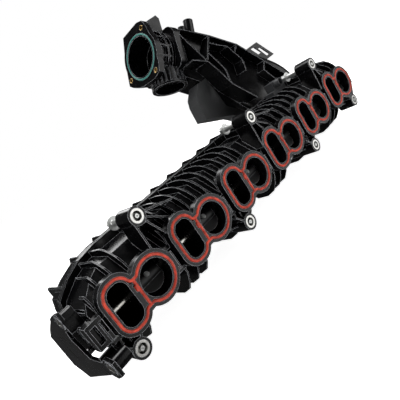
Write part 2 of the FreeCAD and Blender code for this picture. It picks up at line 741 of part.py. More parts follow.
def flange_prism(name, corners, z, long):
    return extrude(name, drawing(name + "_outline", corners, UPRIGHT, z=z), vector(0, 0, 1), long)


SCREW_ANGLES = (61, -53, -149)
FLANGE_CORNERS = [(-25, 44), (13, 47), (24, 44), (30, 34), (35, 10), (35, -25), (31, -37), (18, -42), (-14, -41),
                  (-34, -33), (-42, -27), (-40, -12), (-35, 14)]
flange_scale = dim.screw_circle_r / 40.5
flange_corners = [(flange_scale * x, flange_scale * y) for x, y in FLANGE_CORNERS]
FLANGE_THICK = 10
neck_r = dim.throttle_bore_r + dim.wall + 2
ring_r = neck_r + 5
neck_parts = [
    flange_prism("neck_flange", flange_corners, -FLANGE_THICK, FLANGE_THICK),
    rod("neck_rim", 0, 0, -FLANGE_THICK, ring_r, FLANGE_THICK, UPRIGHT),
    rod("neck_tube", 0, 0, -dim.neck_long, neck_r, dim.neck_long, UPRIGHT),
    rod("neck_ring", 0, 0, -25, ring_r, 3, UPRIGHT),
    rod("neck_foot", 0, 0, -dim.neck_long, ring_r, 5, UPRIGHT),
]
NECK_RIBS = 16
for k in range(NECK_RIBS):
    rib = doc.addObject("Part::Box", "neck_rib_%d" % (k + 1))
    bind(rib, Length=ring_r - dim.throttle_bore_r - 1, Width=dim.rib_thick, Height=dim.neck_long - 6)
    x, y = polar(dim.throttle_bore_r + 1, 360 * k / NECK_RIBS)
    place(rib, x, y, -dim.neck_long + 2, FreeCAD.Rotation(vector(0, 0, 1), 360 * k / NECK_RIBS))
    neck_parts.append(rib)
HOUSING_CORNERS = [(30, -10), (44, -10), (56, -30), (52, -35.5), (30, -35.5)]
neck_parts.append(side_plate("neck_housing", HOUSING_CORNERS, 2, 24))

neck_cutters = [rod("neck_bore", 0, 0, -dim.neck_long - 1, dim.throttle_bore_r, dim.neck_long + 2, UPRIGHT)]
groove_depth = dim.seal_wire * 0.75
groove_outer = rod("seal_groove_outer", 0, 0, -groove_depth, dim.seal_r + dim.seal_wire / 2, groove_depth + 1, UPRIGHT)
groove_inner = rod("seal_groove_inner", 0, 0, -groove_depth - 1, dim.seal_r - dim.seal_wire / 2, groove_depth + 3,
                   UPRIGHT)
neck_cutters.append(cut("seal_groove", groove_outer, [groove_inner]))
inserts = []
INSERT_R = 3.8
INSERT_THREAD_R = 2.5
INSERT_LONG = 9.5
for k, angle in enumerate(SCREW_ANGLES):
    x, y = polar(dim.screw_circle_r, angle)
    neck_cutters.append(rod("insert_way_%d" % (k + 1), x, y, -INSERT_LONG, INSERT_R, INSERT_LONG + 1, UPRIGHT))
    blank = rod("insert_blank_%d" % (k + 1), x, y, -INSERT_LONG, INSERT_R, INSERT_LONG + 0.2, UPRIGHT)
    thread = rod("insert_thread_%d" % (k + 1), x, y, -INSERT_LONG - 1, INSERT_THREAD_R, INSERT_LONG + 3, UPRIGHT)
    inserts.append(cut("insert_%d" % (k + 1), blank, [thread]))
neck = on_flange(cut("neck", fuse("neck_solid", neck_parts), neck_cutters))
node("throttle_neck", neck)
node("throttle_inserts", on_flange(group("inserts", inserts)))

seal_profile = [
    (dim.seal_r - dim.seal_wire / 2, -groove_depth),
    (dim.seal_r + dim.seal_wire / 2, -groove_depth),
    (dim.seal_r + dim.seal_wire / 2, 0.2),
    (dim.seal_r + dim.seal_wire / 4, 0.7),
    (dim.seal_r - dim.seal_wire / 4, 0.7),
    (dim.seal_r - dim.seal_wire / 2, 0.2),
]
node("throttle_seal", on_flange(revolved("seal", seal_profile)))

# The collar joins the round neck to the duct's rounded section.
collar_sketch = doc.addObject("Sketcher::SketchObject", "collar_outline")
rounded_rectangle(collar_sketch, -dim.duct_top_deep / 2 - 2, dim.duct_top_deep / 2 + 2, -dim.duct_top_wide / 2 - 3,
                  dim.duct_top_wide / 2 + 3, dim.duct_corner)
place(collar_sketch, 0, 0, -dim.neck_long - dim.collar_long, UPRIGHT)
collar_blank = extrude("collar_blank", collar_sketch, vector(0, 0, 1), dim.collar_long)
collar_bore = rod("collar_bore", 0, 0, -dim.neck_long - dim.collar_long - 1, dim.throttle_bore_r - 1,
                  dim.collar_long + 2, UPRIGHT)
collar = on_flange(cut("collar", collar_blank, [collar_bore]))
node("duct_collar", collar)
collar_solid = on_flange(group("collar_solid", [collar_blank]))
neck_solid = on_flange(fuse("neck_outside", neck_parts))

# ---------------------------------------------------------------------------------------------
# Air duct: two moulded halves welded along a sloping plane.
# ---------------------------------------------------------------------------------------------

duct_hollow = cut("duct_hollow", duct_outer, [duct_inner, collar_solid])
slope = bearing(duct_start[1] - (duct_front_y + duct_rear_y) / 2, duct_start[2] - tray_top)
front_space = box("duct_front_space", -100, (duct_front_y + duct_rear_y) / 2, tray_top, 500, 300, 400)
front_half_turn = FreeCAD.Rotation(vector(-1, 0, 0), slope.number)
front_space.Placement = FreeCAD.Placement(front_space.Placement.Base, front_half_turn)
front_space.setExpression("Placement.Rotation.Angle", slope.text)
bind(front_space, Height=600)
node("duct_rear_shell", common("duct_rear", [duct_hollow, front_space]))
node("duct_front_shell", cut("duct_front", duct_hollow, [front_space]))

# Ribs on the duct's front: a flat lattice in a sloping plane, each rib along points (x, z).
DUCT_RIBS = [
    [(114, 205), (127, 198), (158, 171), (188, 137), (203, 92), (214, 56)],
    [(90, 151), (110, 139), (111, 120), (109, 92), (123, 56)],
    [(158, 171), (110, 139)],
    [(114, 205), (110, 139)],
    [(126, 150), (123, 115), (110, 96)],
    [(144, 161), (168, 142), (168, 112), (154, 96)],
    [(188, 137), (168, 128)],
    [(203, 92), (185, 81), (187, 56)],
]
LATTICE_OUT = 14
LATTICE_PROUD = 6
LATTICE_DEEP = 28
duct_ribs = []
for k, points in enumerate(DUCT_RIBS, 1):
    duct_ribs.append(ribbon("duct_rib_%d" % k, points, 30, 120, dim.rib_thick.number))
lattice_low = duct_front_y - LATTICE_OUT
lean = bearing(duct_start[1] - dim.duct_top_deep / 2 - LATTICE_PROUD - lattice_low, duct_start[2] - tray_top)
slab = box("duct_rib_slab", 60, lattice_low, tray_top, 200, LATTICE_DEEP, 200)
slab.Placement = FreeCAD.Placement(slab.Placement.Base, FreeCAD.Rotation(vector(-1, 0, 0), lean.number))
slab.setExpression("Placement.Rotation.Angle", lean.text)
lattice = common("duct_lattice", [fuse("duct_ribs", duct_ribs), slab])
node("duct_truss", cut("duct_truss_trimmed", lattice, [duct_outer, collar_solid]))

# ---------------------------------------------------------------------------------------------
# Gas inlet collar under the neck, side chamber, cover posts, cable tab and pressure sensor.
# ---------------------------------------------------------------------------------------------

INLET_R = 26
INLET_Z = -37
DOWN_FLANGE = FreeCAD.Rotation(vector(1, 0, 0), 90)
inlet_parts = [rod("inlet_tube", 5, -28, INLET_Z, INLET_R, 23, DOWN_FLANGE),
               rod("inlet_lip", 5, -48, INLET_Z, INLET_R + 2, 3, DOWN_FLANGE)]
for k in range(24):
    rib = doc.addObject("Part::Box", "inlet_rib_%d" % (k + 1))
    bind(rib, Length=2.5, Width=dim.rib_thick, Height=20)
    x, z = polar(INLET_R - 0.7, 15 * k)
    turn = DOWN_FLANGE.multiply(FreeCAD.Rotation(vector(0, 0, 1), -15 * k))
    place(rib, 5 + x, -28, INLET_Z - z, turn)
    inlet_parts.append(rib)
inlet_bore = rod("inlet_bore", 5, -20, INLET_Z, INLET_R - dim.wall, 60, DOWN_FLANGE)
inlet = on_flange(cut("inlet", fuse("inlet_solid", inlet_parts), [inlet_bore]))
inlet_solid = on_flange(fuse("inlet_outside", inlet_parts[:2]))
node("gas_inlet_collar", cut("gas_inlet", inlet, [neck_solid, collar_solid, duct_outer]))

CHAMBER_CORNERS = [(90, 119), (74, 106), (69, 95), (66, 70), (90, 61), (120, 50), (139, 36), (165, 44), (152, 75),
                   (135, 104), (112, 120)]
CHAMBER_CORE = [(92, 114), (79, 103), (74, 93), (71, 74), (92, 66), (122, 55), (140, 42), (158, 48), (147, 74),
                (131, 101), (110, 115)]
chamber_front = dim.plenum_back + 4
CHAMBER_DEEP = 22
chamber = front_plate("chamber_blank", CHAMBER_CORNERS, chamber_front, CHAMBER_DEEP)
core = front_plate("chamber_core", CHAMBER_CORE, chamber_front + dim.wall, CHAMBER_DEEP - dim.wall * 2)
around_chamber = [duct_outer, collar_solid, neck_solid, inlet_solid]
node("side_chamber", cut("chamber", chamber, [core] + around_chamber))

POST_Y = 136
POST_LEAN = FreeCAD.Rotation(vector(0, 1, 0), 30)
posts = []
for k, (x, z, r, long) in enumerate([(149, 182, 8, 31), (133, 185, 6, 22)]):
    solid = rod("post_%d_solid" % (k + 1), x, POST_Y, z, r, long, POST_LEAN)
    hole = rod("post_%d_hole" % (k + 1), x + long / 4, POST_Y, z + long / 2.2, r - 4, long, POST_LEAN)
    posts.append(cut("post_%d" % (k + 1), solid, [hole]))
node("cover_posts", cut("posts", group("posts_all", posts), [duct_outer, lattice]))

TAB_CORNERS = [(226, 122), (262, 123), (291, 89), (240, 88)]
TAB_SLOTS = [[(238, 118), (250, 118), (262, 104), (250, 104)], [(257, 112), (266, 112), (281, 94), (270, 94)]]
tab = front_plate("tab_blank", TAB_CORNERS, 112, dim.wall)
slots = [front_plate("tab_slot_%d" % (k + 1), corners, 111, dim.wall + 2) for k, corners in enumerate(TAB_SLOTS)]
node("cable_tab", cut("tab", tab, slots + [duct_outer]))

SENSOR_X = 153
sensor_parts = [box("sensor_foot", SENSOR_X - 18, 42, 40, 36, 17, 10),
                box("sensor_body", SENSOR_X - 10, 43, 49, 20, 15, 13),
                rod("sensor_plug", SENSOR_X, 34, 57, 6, 12)]
sensor_hole = rod("sensor_screw_way", SENSOR_X + 14.5, 50.5, 38, 2.0, 20, UPRIGHT)
sensor_socket = rod("sensor_socket", SENSOR_X, 33, 57, 4.5, 9)
node("pressure_sensor", cut("sensor", fuse("sensor_solid", sensor_parts),
                            [sensor_hole, sensor_socket, piece("runner_5")]))
screw_profile = [(0, 0), (4.2, 0), (4.2, 2.6), (3.4, 3.4), (0, 3.4)]
node("sensor_screw", revolved("sensor_screw_turned", screw_profile, x=SENSOR_X + 14.5, y=50.5, z=50))

# ---------------------------------------------------------------------------------------------
# Bolts: steel sleeves in the bosses, plastic retainers inside them, and the captive bolts.
# ---------------------------------------------------------------------------------------------

sleeves = []
retainers = []
TOWARDS_HEAD = FreeCAD.Rotation(vector(1, 0, 0), 90)
bolt_profile = [
    (0, -9), (4.2, -9), (4.9, -8.3), (4.9, -2.6), (dim.bolt_flange_r, -1.8), (dim.bolt_flange_r, 0), (dim.bolt_r, 0),
    (dim.bolt_r, dim.bolt_reach - 6), (dim.bolt_r - 0.75, dim.bolt_reach - 4.5),
    (dim.bolt_r - 0.75, dim.bolt_reach - 0.8), (dim.bolt_r - 1.5, dim.bolt_reach), (0, dim.bolt_reach),
]
for name, pitches, z, webs in BOSSES:
    x = dim.pitch * pitches
    sleeve = rod("sleeve_" + name, x, 0, z, dim.sleeve_r, dim.boss_deep)
    hole = rod("sleeve_bore_" + name, x, -1, z, dim.sleeve_bore_r, dim.boss_deep + 2)
    sleeves.append(cut("sleeve_cut_" + name, sleeve, [hole]))
    ring = rod("retainer_" + name, x, dim.boss_deep - 6, z, dim.sleeve_bore_r, 4)
    grip = rod("retainer_bore_" + name, x, dim.boss_deep - 7, z, dim.bolt_r + dim.retainer_play, 6)
    retainers.append(cut("retainer_cut_" + name, ring, [grip]))
    bolt = revolved("bolt_turned_" + name, bolt_profile, TOWARDS_HEAD, x=x, y=dim.boss_deep + dim.bolt_back, z=z)
    node("bolt_" + name, bolt)
node("bolt_sleeves", group("sleeves", sleeves))
node("bolt_retainers", group("retainers", retainers))

# ---------------------------------------------------------------------------------------------
# Swirl flaps: the shaft in its bushes, six flaps screwed to it, and the coupling at the near end.
# ---------------------------------------------------------------------------------------------

HUB_R = 6.2
SCREW_R = 1.5
SCREW_HEAD_R = 3.0
flap_r = dim.bore_r - dim.flap_play
shaft_near = -row_end - 6
shaft_far = row_end + 1
shaft_blank = rod("shaft_blank", shaft_near, dim.shaft_y, dim.bore_z, dim.shaft_r, shaft_far - shaft_near, ALONG_X)
screw_ways = []
flap_screws = []
for number in range(PORTS):
    tag = "swirl_flap_%d" % (number + 1)
    x = dim.pitch * (number - 2.5) + dim.bore_x
    tilt = FreeCAD.Rotation(vector(1, 0, 0), dim.flap_rest.number)
    hub_half = flap_r - 2.5
    disc = rod(tag + "_disc", 0, 0, -dim.flap_thick / 2, flap_r, dim.flap_thick, UPRIGHT)
    hub = rod(tag + "_hub", -hub_half, 0, 0, HUB_R, hub_half * 2, ALONG_X)
    way = rod(tag + "_shaft_way", -hub_half - 10, 0, 0, dim.shaft_r, hub_half * 2 + 20, ALONG_X)
    hole = rod(tag + "_screw_way", 0, 0, -HUB_R - 1, SCREW_R, HUB_R * 2 + 2, UPRIGHT)
    flap = cut(tag + "_solid", fuse(tag + "_blank", [disc, hub]), [way, hole])
    place(flap, x, dim.shaft_y, dim.bore_z, tilt)
    flap.setExpression("Placement.Rotation.Angle", dim.flap_rest.text)
    node(tag, flap)
    screw = revolved(tag + "_screw", [(0, -HUB_R - 0.5), (SCREW_R, -HUB_R - 0.5), (SCREW_R, HUB_R + 0.3),
                                      (SCREW_HEAD_R, HUB_R + 0.3), (SCREW_HEAD_R - 0.8, HUB_R + 1.8),
                                      (0, HUB_R + 1.8)])
    place(screw, x, dim.shaft_y, dim.bore_z, tilt)
    screw.setExpression("Placement.Rotation.Angle", dim.flap_rest.text)
    flap_screws.append(screw)
    through = rod(tag + "_shaft_hole", 0, 0, -HUB_R - 1, SCREW_R, HUB_R * 2 + 2, UPRIGHT)
    turned = group(tag + "_shaft_hole_turned", [through])
    place(turned, x, dim.shaft_y, dim.bore_z, tilt)
    turned.setExpression("Placement.Rotation.Angle", dim.flap_rest.text)
    screw_ways.append(turned)
node("swirl_shaft", cut("shaft", shaft_blank, screw_ways))
node("flap_screws", group("flap_screw_set", flap_screws))

bushes = []
for k in range(PORTS + 1):
    x = dim.pitch * (k - 3) - dim.bush_long / 2
    blank = rod("bush_blank_%d" % (k + 1), x, dim.shaft_y, dim.bore_z, dim.bush_r, dim.bush_long, ALONG_X)
    bore = rod("bush_bore_%d" % (k + 1), x - 1, dim.shaft_y, dim.bore_z, dim.shaft_r + dim.shaft_play,
               dim.bush_long + 2, ALONG_X)
    bushes.append(cut("bush_%d" % (k + 1), blank, [bore]))
node("shaft_bushes", group("bushes", bushes))

body_end = row_end - 1
cap = revolved("shaft_cap_turned", [(0, 4), (0, 7), (dim.bush_r + 2.5, 7), (dim.bush_r + 2.5, 0), (dim.bush_r, 0),
                                    (dim.bush_r, 4)],
               ALONG_X, x=body_end, y=dim.shaft_y, z=dim.bore_z)
node("shaft_end_cap", cap)
HUB_BORE_R = 9.2
seal_blank = rod("shaft_seal_blank", -body_end - 5.5, dim.shaft_y, dim.bore_z, HUB_BORE_R, 2.3, ALONG_X)
seal_bore = rod("shaft_seal_bore", -body_end - 7, dim.shaft_y, dim.bore_z, dim.shaft_r + dim.shaft_play, 6, ALONG_X)
node("shaft_seal", cut("lip_seal", seal_blank, [seal_bore]))
coupling_blank = rod("coupling_blank", -body_end - 8.2, dim.shaft_y, dim.bore_z, HUB_BORE_R - 0.8, 2.4, ALONG_X)
coupling_slot = box("coupling_slot", -body_end - 9, dim.shaft_y - 6, dim.bore_z - 1.5, 2.2, 12, 3)
coupling_way = rod("coupling_way", -body_end - 7, dim.shaft_y, dim.bore_z, dim.shaft_r, 5, ALONG_X)
node("drive_coupling", cut("coupling", coupling_blank, [coupling_slot, coupling_way]))

# ---------------------------------------------------------------------------------------------
# Actuator bracket: a plate beyond the near end, with its hub round the shaft and two sleeved bosses.
# ---------------------------------------------------------------------------------------------

plate_x = -dim.pitch * 2.5 - dim.bracket_x
ACTUATOR_SCREWS = [(15.5, 21), (-20.5, -25)]
ACTUATOR_BOSS_R = 7
ACTUATOR_SLEEVE_R = 4.8
ACTUATOR_HOLE_R = 3.3
reach = -body_end - plate_x
PLATE_CORNERS = [(27, 30), (44, 27), (80, 10), (103, -3), (106, -42), (84, -55), (10, -36), (0, -38), (-11, -34),
                 (-11, -20), (2, -17), (9, -22), (34, -22), (42, 0), (38, 10), (27, 12)]
shaft_at = (dim.shaft_y, dim.bore_z)
plate_corners = [(y - 18.5 + shaft_at[0], z + 1 + shaft_at[1]) for y, z in PLATE_CORNERS]
bracket_parts = [side_plate("bracket_plate", plate_corners, plate_x, dim.bracket_thick)]
bracket_parts.append(rod("bracket_hub", -body_end - 8.5, dim.shaft_y, dim.bore_z, HUB_BORE_R + 2.6, 8.5, ALONG_X))
bracket_cutters = [rod("bracket_hub_bore", -body_end - 10, dim.shaft_y, dim.bore_z, HUB_BORE_R, 11, ALONG_X)]
actuator_sleeves = []
for k, (dy, dz) in enumerate(ACTUATOR_SCREWS):
    y, z = shaft_at[0] + dy, shaft_at[1] + dz
    long = (reach, reach + 4.5)[k]
    bracket_parts.append(rod("bracket_boss_%d" % (k + 1), plate_x - 0.5, y, z, ACTUATOR_BOSS_R, long, ALONG_X))
    bracket_cutters.append(rod("bracket_way_%d" % (k + 1), plate_x - 2, y, z, ACTUATOR_SLEEVE_R, 15, ALONG_X))
    blank = rod("actuator_sleeve_blank_%d" % (k + 1), plate_x - 0.5, y, z, ACTUATOR_SLEEVE_R, 13.5, ALONG_X)
    bore = rod("actuator_sleeve_bore_%d" % (k + 1), plate_x - 2, y, z, ACTUATOR_HOLE_R, 17, ALONG_X)
    actuator_sleeves.append(cut("actuator_sleeve_%d" % (k + 1), blank, [bore]))
# Spacer ribs between the plate and the shell's end wall, from (y, z) to (y, z).
SPACERS = [((30, 14), (60, 8)), ((44, -20), (60, -30)), ((27, 8), (30, 26)), ((14, -36), (52, -44)), ((8, -17), (8, -36))]
for k, ((y0, z0), (y1, z1)) in enumerate(SPACERS):
    angle = math.degrees(math.atan2(z1 - z0, y1 - y0))
    spacer = doc.addObject("Part::Box", "bracket_spacer_%d" % (k + 1))
    bind(spacer, Length=reach, Width=math.hypot(y1 - y0, z1 - z0), Height=dim.rib_thick)
    place(spacer, plate_x, y0, z0, FreeCAD.Rotation(vector(1, 0, 0), angle))
    bracket_parts.append(spacer)
# A wall beside the plenum's bevelled corner, and the slotted clip housing in front of the hub.
wall_low = dim.seam_low + 20
wall_top = shaft_at[1] + 13
wall_back = dim.plenum_back - 6
wall_corners = [(dim.seam_y - 20, wall_low), (dim.seam_y - 20, wall_top), (wall_back - 8, wall_top),
                (wall_back, wall_top - 8), (wall_back, wall_low + 4), (wall_back - 8, wall_low)]
bracket_parts.append(side_plate("bracket_wall", wall_corners, -row_end - 4.5, 3.2))
clip_y = shaft_at[0] - 17.5
bracket_parts.append(box("clip_housing", plate_x + 3, clip_y, shaft_at[1] - 11, reach + 2, 10, 24))
bracket_cutters.append(box("clip_slot", plate_x + 6, clip_y - 1, shaft_at[1] - 7, 6, 6, 16))
bracket_cutters.append(box("clip_latch", plate_x + 15, clip_y - 1, shaft_at[1] - 3, 4, 6, 12))
bracket = cut("bracket", fuse("bracket_solid", bracket_parts), bracket_cutters)
node("actuator_bracket", cut("bracket_trimmed", bracket, [piece("runner_1")]))
node("actuator_sleeves", group("actuator_sleeve_pair", actuator_sleeves))


# ---------------------------------------------------------------------------------------------
# Check every piece, then write the files.
# ---------------------------------------------------------------------------------------------

doc.recompute()
for item in doc.Objects:
    if "Invalid" in item.State or "Error" in item.State:
        raise RuntimeError("%s failed: %s" % (item.Label, item.State))
for item in nodes:
    if item.Shape.isNull() or not item.Shape.isValid():
        raise RuntimeError("%s has no valid shape" % item.Label)
    if not item.Shape.Solids:
        raise RuntimeError("%s has no solid" % item.Label)

os.makedirs("parts", exist_ok=True)
for item in nodes:
    item.Shape.exportStep("parts/%s.step" % item.Label)
    print("%-22s %2d solids %9.1f mm3" % (item.Label, len(item.Shape.Solids), item.Shape.Volume))
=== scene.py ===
import json
import math

import bmesh
import bpy
from mathutils import Matrix, Vector


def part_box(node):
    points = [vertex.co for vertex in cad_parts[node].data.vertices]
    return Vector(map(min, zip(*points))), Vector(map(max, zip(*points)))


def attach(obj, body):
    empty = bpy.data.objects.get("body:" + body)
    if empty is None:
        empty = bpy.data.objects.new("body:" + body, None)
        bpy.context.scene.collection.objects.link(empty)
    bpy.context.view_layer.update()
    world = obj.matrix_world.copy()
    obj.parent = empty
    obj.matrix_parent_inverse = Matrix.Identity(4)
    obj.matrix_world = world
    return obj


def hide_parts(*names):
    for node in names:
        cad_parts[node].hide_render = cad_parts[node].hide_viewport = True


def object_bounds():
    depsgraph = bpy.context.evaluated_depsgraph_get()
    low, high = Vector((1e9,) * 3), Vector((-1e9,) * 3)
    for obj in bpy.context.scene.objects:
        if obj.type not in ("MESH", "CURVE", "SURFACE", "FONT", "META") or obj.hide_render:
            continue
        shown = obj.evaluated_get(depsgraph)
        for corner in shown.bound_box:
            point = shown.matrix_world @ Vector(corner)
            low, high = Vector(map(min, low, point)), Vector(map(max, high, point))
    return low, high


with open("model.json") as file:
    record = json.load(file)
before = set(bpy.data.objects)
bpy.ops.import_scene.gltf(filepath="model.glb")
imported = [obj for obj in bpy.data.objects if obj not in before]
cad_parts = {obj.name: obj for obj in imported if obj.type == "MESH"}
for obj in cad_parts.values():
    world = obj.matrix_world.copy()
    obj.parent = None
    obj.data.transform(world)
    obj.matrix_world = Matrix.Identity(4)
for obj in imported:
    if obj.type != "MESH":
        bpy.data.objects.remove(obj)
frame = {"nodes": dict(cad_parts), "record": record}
cad_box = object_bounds()
mounts = {mount["name"]: mount for mount in frame["record"]["mounts"]}

# Front shell. One moulding that holds six pairs of ports, ribbed above and below, with a boss for each bolt.
# It is black nylon 6.6 with glass fibre, out of a steel tool: a satin skin, with a pale grey highlight
# painted along its rib edges.


def linear(colour):
    """An sRGB hex colour as the linear values that a shader takes."""
    parts = [int(colour[k:k + 2], 16) / 255 for k in (0, 2, 4)]
    return [c / 12.92 if c <= 0.04045 else ((c + 0.055) / 1.055) ** 2.4 for c in parts] + [1.0]


def add_node(tree, kind, settings=None, links=None):
    """One more node: its properties and input values, and its links from (node, output)."""
    node = tree.nodes.new(kind)
    for key, value in (settings or {}).items():
        if isinstance(key, int) or key in node.inputs:
            node.inputs[key].default_value = value
        else:
            setattr(node, key, value)
    for key, (source, output) in (links or {}).items():
        tree.links.new(source.outputs[output], node.inputs[key])
    return node


def new_material(name):
    """An empty node material, with its tree and output."""
    material = bpy.data.materials.new(name)
    material.use_nodes = True
    material.node_tree.nodes.clear()
    output = add_node(material.node_tree, "ShaderNodeOutputMaterial")
    return material, material.node_tree, output


CLOUD_SIZE = 0.014


def moulded(name, skin, edge_highlight_colour, roughness, grain_mm, edge_mm, ior, relief=0.12):
    """A moulded plastic: the tool's fine grain, cloudy gloss from the flow, and a pale highlight painted
    along its edges in patches.
    """
    material, tree, output = new_material(name)
    place = add_node(tree, "ShaderNodeTexCoord")
    cloud = add_node(tree, "ShaderNodeTexNoise", {"Scale": 1 / CLOUD_SIZE, "Detail": 4.0},
                     {"Vector": (place, "Object")})
    grain = add_node(tree, "ShaderNodeTexNoise", {"Scale": 1000 / grain_mm, "Detail": 2.0},
                     {"Vector": (place, "Object")})
    round_edge = add_node(tree, "ShaderNodeBevel", {"samples": 6, "Radius": edge_mm / 1000})
    face = add_node(tree, "ShaderNodeNewGeometry")
    # Where the rounded edge normal turns away from the face normal, the second colour is mixed in, broken
    # into cloudy patches. This is a painted highlight along the edges.
    turned = add_node(tree, "ShaderNodeVectorMath", {"operation": "DOT_PRODUCT"},
                      {0: (round_edge, "Normal"), 1: (face, "Normal")})
    edge = add_node(tree, "ShaderNodeMapRange", {"From Min": 0.985, "From Max": 0.82},
                    {"Value": (turned, "Value")})
    highlight_patches = add_node(tree, "ShaderNodeMapRange", {"From Min": 0.15, "From Max": 0.45},
                    {"Value": (cloud, "Fac")})
    edge_highlight = add_node(tree, "ShaderNodeMath", {"operation": "MULTIPLY"},
                   {0: (edge, "Result"), 1: (highlight_patches, "Result")})
    colour = add_node(tree, "ShaderNodeMix", {"data_type": "RGBA", 6: linear(skin), 7: linear(edge_highlight_colour)},
                      {0: (edge_highlight, "Value")})
    gloss = add_node(tree, "ShaderNodeMapRange",
                     {"From Min": 0.3, "From Max": 0.7,
                      "To Min": roughness - 0.06, "To Max": roughness + 0.08},
                     {"Value": (cloud, "Fac")})
    bump = add_node(tree, "ShaderNodeBump", {"Strength": relief, "Distance": grain_mm / 4000},
                    {"Height": (grain, "Fac"), "Normal": (round_edge, "Normal")})
    shader = add_node(tree, "ShaderNodeBsdfPrincipled", {"IOR": ior},
                      {"Base Color": (colour, 2), "Roughness": (gloss, "Result"), "Normal": (bump, "Normal")})
    tree.links.new(shader.outputs["BSDF"], output.inputs["Surface"])
    return material


def dress(material, *names):
    """Give the material to these CAD nodes."""
    for name in names:
        node = frame["nodes"][name]
        if not node.material_slots:
            node.data.materials.append(material)
        for place in node.material_slots:
            place.material = material


# Glass-filled nylon 6.6: near black and satin. Its grain is drawn at 0.6 mm, as the real one is too fine.
# Its second colour, a pale grey, is the highlight painted along its edges.
nylon = moulded("nylon_66_glass_filled_moulded", "030304", "a8aaae", 0.22, 0.6, 0.7, 1.42)
PORT_PAIRS = 6
dress(nylon, *["runner_%d" % (k + 1) for k in range(PORT_PAIRS)])

# Port gaskets. Each is one ring of silicone, pressed into the groove round a pair of ports, with a straight
# strip between the two and a small tab for the press to hold. The bead stands a little out of the face.

PITCH = 0.091
BEAD = 0.0027
BEAD_DEEP = 0.0032
BEAD_PROUD = 0.0009
CREST = 0.0011
FOOT_SHARE = 0.9
GAP = 0.0033
WAIST = 0.0108
SADDLE = 0.005
TAB_X = -0.0018
TAB_FROM = 0.0022
TAB_TO = 0.0078
TAB_SHARE = 0.85
# The long port's left, right, low and top sides and its corner radius; the round port's x, z and radius.
LONG_PORT = (-0.0293, -0.0069, -0.0187, 0.022, 0.0095)
ROUND_PORT = (0.0197, -0.001, 0.0174)


def arc(centre, radius, start, end, steps=10):
    """Points (x, z) on an arc, angles in degrees."""
    turn = [math.radians(start + (end - start) * k / steps) for k in range(steps + 1)]
    return [(centre[0] + radius * math.cos(a), centre[1] + radius * math.sin(a)) for a in turn]


def bead_path():
    """The bead's centre line round both ports, with a rounded saddle above and below the waist."""
    left, right, low, top, corner = LONG_PORT
    corner += GAP
    left, right, low, top = left - GAP, right + GAP, low - GAP, top + GAP
    x, z, radius = ROUND_PORT
    radius += GAP
    path = arc((left + corner, low + corner), corner, 270, 180)
    path += arc((left + corner, top - corner), corner, 180, 90)
    for side in (1, -1):
        middle = (right - corner, top - corner) if side > 0 else (right - corner, low + corner)
        line = z + side * (WAIST + GAP)
        height = line + side * SADDLE
        near = math.sqrt((corner + SADDLE) ** 2 - (height - middle[1]) ** 2)
        far = math.sqrt((radius + SADDLE) ** 2 - (height - z) ** 2)
        near_angle = math.degrees(math.atan2(abs(height - middle[1]), near))
        far_angle = math.degrees(math.atan2(abs(height - z), far))
        half = arc(middle, corner, side * 90, side * near_angle)
        half += arc((middle[0] + near, height), SADDLE, side * (180 + near_angle), side * 270)[1:]
        half += arc((x - far, height), SADDLE, side * 270, side * (360 - far_angle))
        half += arc((x, z), radius, side * (180 - far_angle), 0, 24)[1:]
        path += half[1:] if side > 0 else half[::-1][1:]
    return path[:-1]


def sweep(mesh, path, profile, closed):
    """Add to a bmesh the band that a profile of (side, y) makes along points (x, z)."""
    rows = []
    count = len(path)
    for k, (x, z) in enumerate(path):
        before = path[k - 1] if closed or k else path[k]
        after = path[(k + 1) % count] if closed or k + 1 < count else path[k]
        along = Vector((after[0] - before[0], after[1] - before[1])).normalized()
        rows.append([mesh.verts.new((x - along.y * side, y, z + along.x * side)) for side, y in profile])
    for k in range(count if closed else count - 1):
        first, second = rows[k], rows[(k + 1) % count]
        for j in range(len(profile)):
            mesh.faces.new((first[j], first[j - 1], second[j - 1], second[j]))
    if not closed:
        mesh.faces.new(rows[0][::-1])
        mesh.faces.new(rows[-1])


def piece_from(name, mesh, material, body, replaced=(), smooth_deg=40):
    """Turn a bmesh into a piece that rides on a body, takes a slot's finish and may replace CAD nodes."""
    bmesh.ops.recalc_face_normals(mesh, faces=mesh.faces)
    data = bpy.data.meshes.new(name)
    mesh.to_mesh(data)
    mesh.free()
    item = bpy.data.objects.new(name, data)
    bpy.context.scene.collection.objects.link(item)
    data.materials.append(material)
    data.shade_smooth()
    data.set_sharp_from_angle(angle=math.radians(smooth_deg))
    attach(item, body)
    if replaced:
        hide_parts(*replaced)
    return item


DUST_SIZE = 0.006
SILICONE_GRAIN = 0.0007


